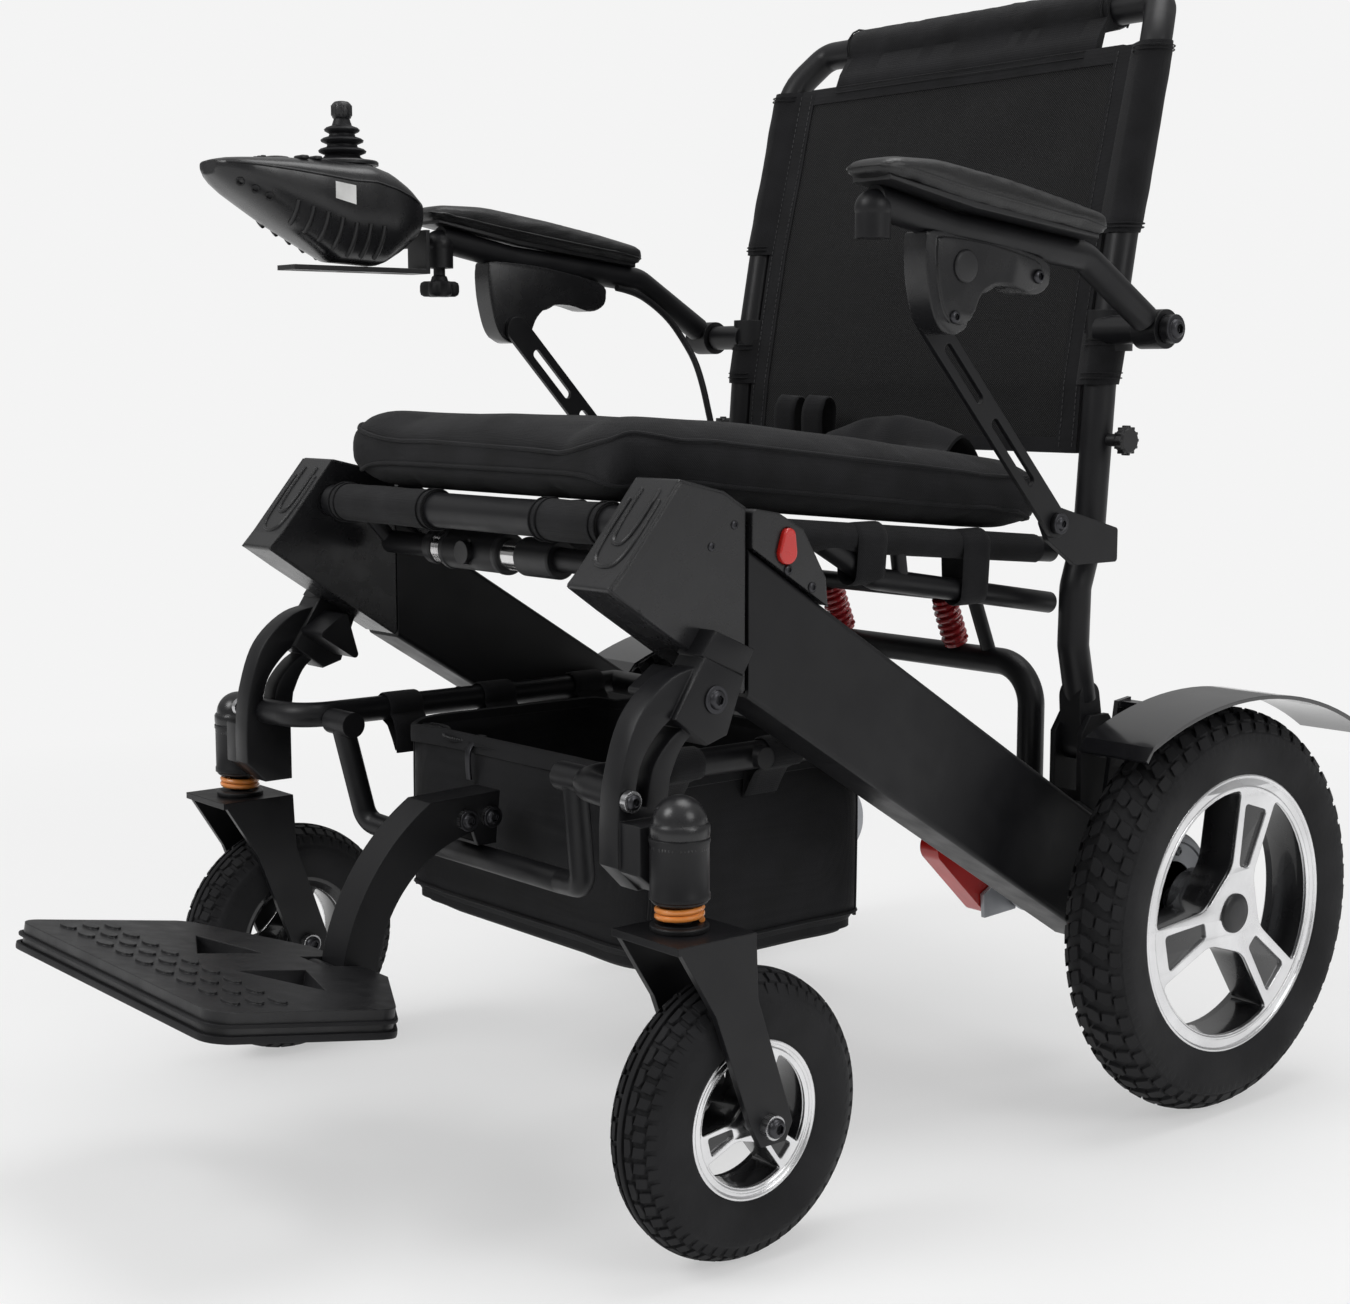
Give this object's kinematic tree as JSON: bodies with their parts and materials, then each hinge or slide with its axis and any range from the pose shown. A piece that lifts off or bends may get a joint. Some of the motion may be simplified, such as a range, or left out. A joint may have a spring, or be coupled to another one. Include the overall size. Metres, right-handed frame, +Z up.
{
  "type": "power wheelchair",
  "caption": "Folding electric wheelchair with side battery beams, sprung swivel casters, flip-up armrests, joystick controller, cushion, mesh back and footplate.",
  "frame": {"origin": "on the floor under the middle of the bounding box", "axes": "+Z up, -Y the way the user faces, +X the user's left"},
  "size_m": [0.672, 0.9462, 0.888],
  "materials": {
    "frame_paint": "satin powder coat",
    "moulded_black": "fine texture",
    "gloss_black": "gloss",
    "rubber": "matte",
    "arm_leather": "grained",
    "red_plastic": "gloss",
    "red_spring": "gloss",
    "orange_spring": "gloss",
    "steel": "zinc plated",
    "rim_alloy": "machined faces with black pockets",
    "tyre_rubber": "block tread",
    "motor_alloy": "cast",
    "seat_fabric": "woven and mesh",
    "bag_fabric": "nylon"
  },
  "bodies": {
    "chassis": {"beam_left": "frame_paint", "beam_right": "frame_paint", "hinge_covers": "frame_paint", "caster_arm_left": "frame_paint", "caster_arm_right": "frame_paint", "beam_brackets": "frame_paint", "steering_caps": "rubber", "steering_bearings": "steel", "lower_frame": "frame_paint", "front_cross_tube": "frame_paint", "frame_bolts": "steel", "drive_motors": "motor_alloy", "fenders": "gloss_black", "storage_bag": "bag_fabric", "footrest_arm": "frame_paint"},
    "backrest": {"back_frame": "frame_paint", "back_upholstery": "seat_fabric", "arm_pivots": "frame_paint", "controller_cable": "rubber"},
    "seat": {"seat_frame": "frame_paint", "rear_hoop": "frame_paint", "seat_springs": "red_spring", "cushion": "seat_fabric", "lock_bar": "frame_paint"},
    "lock_button": {"lock_button": "moulded_black"},
    "footplate": {"footplate": "moulded_black"},
    "release_lever": {"release_lever": "red_plastic"},
    "controller": {"controller_mount": "moulded_black", "controller_body": "moulded_black"},
    "joystick_gimbal": {"joystick_gimbal": "moulded_black"},
    "joystick": {"joystick_boot": "rubber", "joystick": "rubber"},
    "power_button": {"power_button": "moulded_black"},
    "mount_knob": {"mount_knob": "moulded_black"},
    "battery_left": {"battery_left": "moulded_black"},
    "release_button_left": {"release_button_left": "red_plastic"},
    "caster_slider_left": {"caster_spring_left": "orange_spring"},
    "caster_fork_left": {"caster_fork_left": "frame_paint", "caster_axle_left": "steel"},
    "caster_wheel_left": {"caster_rim_left": "rim_alloy", "caster_tyre_left": "tyre_rubber"},
    "rear_wheel_left": {"rear_rim_left": "rim_alloy", "rear_tyre_left": "tyre_rubber"},
    "armrest_left": {"armrest_tube_left": "frame_paint", "strut_bracket_left": "moulded_black", "arm_pad_left": "arm_leather"},
    "armrest_strut_left": {"armrest_strut_left": "frame_paint"},
    "battery_right": {"battery_right": "moulded_black"},
    "release_button_right": {"release_button_right": "red_plastic"},
    "caster_slider_right": {"caster_spring_right": "orange_spring"},
    "caster_fork_right": {"caster_fork_right": "frame_paint", "caster_axle_right": "steel"},
    "caster_wheel_right": {"caster_rim_right": "rim_alloy", "caster_tyre_right": "tyre_rubber"},
    "rear_wheel_right": {"rear_rim_right": "rim_alloy", "rear_tyre_right": "tyre_rubber"},
    "armrest_right": {"armrest_tube_right": "frame_paint", "strut_bracket_right": "moulded_black", "arm_pad_right": "arm_leather"},
    "armrest_strut_right": {"armrest_strut_right": "frame_paint"}
  },
  "joints": [
    {"name": "backrest_fold", "type": "hinge", "parent": "chassis", "child": "backrest", "pos_m": [0, 0.26511, 0.283], "axis": [1, 0, 0], "range_deg": [0, 22]},
    {"name": "seat_fold", "type": "hinge", "parent": "chassis", "child": "seat", "pos_m": [0, -0.07489, 0.46], "axis": [-1, 0, 0], "range_deg": [0, 12.4]},
    {"name": "battery_slide_left", "type": "slide", "parent": "chassis", "child": "battery_left", "axis": [0, -0.848, 0.5299], "range_m": [0, 0.3]},
    {"name": "release_press_left", "type": "slide", "parent": "chassis", "child": "release_button_left", "axis": [-1, 0, 0], "range_m": [0, 0.003], "stiffness_N_per_m": 400, "springref_m": -0.002},
    {"name": "caster_suspension_left", "type": "slide", "parent": "chassis", "child": "caster_slider_left", "axis": [0, 0, 1], "range_m": [0, 0.005], "stiffness_N_per_m": 30000, "springref_m": -0.012, "deforming": ["caster_spring_left"]},
    {"name": "caster_swivel_left", "type": "hinge", "parent": "caster_slider_left", "child": "caster_fork_left", "pos_m": [0.287, -0.21689, 0.25], "axis": [0, 0, 1], "continuous": true},
    {"name": "caster_spin_left", "type": "hinge", "parent": "caster_fork_left", "child": "caster_wheel_left", "pos_m": [0.29, -0.17189, 0.097], "axis": [1, 0, 0], "continuous": true},
    {"name": "rear_wheel_spin_left", "type": "hinge", "parent": "chassis", "child": "rear_wheel_left", "pos_m": [0.305, 0.31011, 0.159], "axis": [1, 0, 0], "continuous": true},
    {"name": "armrest_flip_left", "type": "hinge", "parent": "backrest", "child": "armrest_left", "pos_m": [0.262, 0.27511, 0.608], "axis": [-1, 0, 0], "range_deg": [0, 88]},
    {"name": "strut_swing_left", "type": "hinge", "parent": "backrest", "child": "armrest_strut_left", "pos_m": [0.246, 0.18311, 0.463], "axis": [-1, 0, 0], "range_deg": [0, 55]},
    {"name": "battery_slide_right", "type": "slide", "parent": "chassis", "child": "battery_right", "axis": [0, -0.848, 0.5299], "range_m": [0, 0.3]},
    {"name": "release_press_right", "type": "slide", "parent": "chassis", "child": "release_button_right", "axis": [1, 0, 0], "range_m": [0, 0.003], "stiffness_N_per_m": 400, "springref_m": -0.002},
    {"name": "caster_suspension_right", "type": "slide", "parent": "chassis", "child": "caster_slider_right", "axis": [0, 0, 1], "range_m": [0, 0.005], "stiffness_N_per_m": 30000, "springref_m": -0.012, "deforming": ["caster_spring_right"]},
    {"name": "caster_swivel_right", "type": "hinge", "parent": "caster_slider_right", "child": "caster_fork_right", "pos_m": [-0.287, -0.21689, 0.25], "axis": [0, 0, 1], "continuous": true},
    {"name": "caster_spin_right", "type": "hinge", "parent": "caster_fork_right", "child": "caster_wheel_right", "pos_m": [-0.29, -0.17189, 0.097], "axis": [1, 0, 0], "continuous": true},
    {"name": "rear_wheel_spin_right", "type": "hinge", "parent": "chassis", "child": "rear_wheel_right", "pos_m": [-0.305, 0.31011, 0.159], "axis": [1, 0, 0], "continuous": true},
    {"name": "armrest_flip_right", "type": "hinge", "parent": "backrest", "child": "armrest_right", "pos_m": [-0.262, 0.27511, 0.608], "axis": [-1, 0, 0], "range_deg": [0, 88]},
    {"name": "strut_swing_right", "type": "hinge", "parent": "backrest", "child": "armrest_strut_right", "pos_m": [-0.246, 0.18311, 0.463], "axis": [-1, 0, 0], "range_deg": [0, 55]},
    {"name": "footplate_flip", "type": "hinge", "parent": "chassis", "child": "footplate", "pos_m": [0, -0.30789, 0.15], "axis": [-1, 0, 0], "range_deg": [0, 70]},
    {"name": "freewheel_lever", "type": "hinge", "parent": "chassis", "child": "release_lever", "pos_m": [0.107, 0.26211, 0.136], "axis": [1, 0, 0], "range_deg": [0, 40]},
    {"name": "lock_press", "type": "slide", "parent": "seat", "child": "lock_button", "axis": [0, 1, 0], "range_m": [0, 0.0035], "stiffness_N_per_m": 400, "springref_m": -0.002},
    {"name": "controller_reach", "type": "slide", "parent": "armrest_right", "child": "controller", "axis": [0, -1, 0], "range_m": [0, 0.03]},
    {"name": "joystick_pitch", "type": "hinge", "parent": "controller", "child": "joystick_gimbal", "pos_m": [-0.238, -0.13589, 0.742], "axis": [1, 0, 0], "range_deg": [-15, 15], "stiffness_Nm_per_rad": 0.5},
    {"name": "joystick_roll", "type": "hinge", "parent": "joystick_gimbal", "child": "joystick", "pos_m": [-0.238, -0.13589, 0.742], "axis": [0, 1, 0], "range_deg": [-15, 15], "stiffness_Nm_per_rad": 0.5},
    {"name": "power_press", "type": "slide", "parent": "controller", "child": "power_button", "axis": [0, 0, -1], "range_m": [0, 0.002], "stiffness_N_per_m": 400, "springref_m": -0.002},
    {"name": "knob_turn", "type": "hinge", "parent": "armrest_right", "child": "mount_knob", "pos_m": [-0.262, -0.02789, 0.65], "axis": [0, 0, 1], "range_deg": [-180, 180]}
  ],
  "couplings": [
    {"joint": "seat_fold", "follows": "backrest_fold", "ratio": 0.55},
    {"joint": "strut_swing_left", "follows": "armrest_flip_left", "ratio": 0.6},
    {"joint": "strut_swing_right", "follows": "armrest_flip_right", "ratio": 0.6}
  ]
}
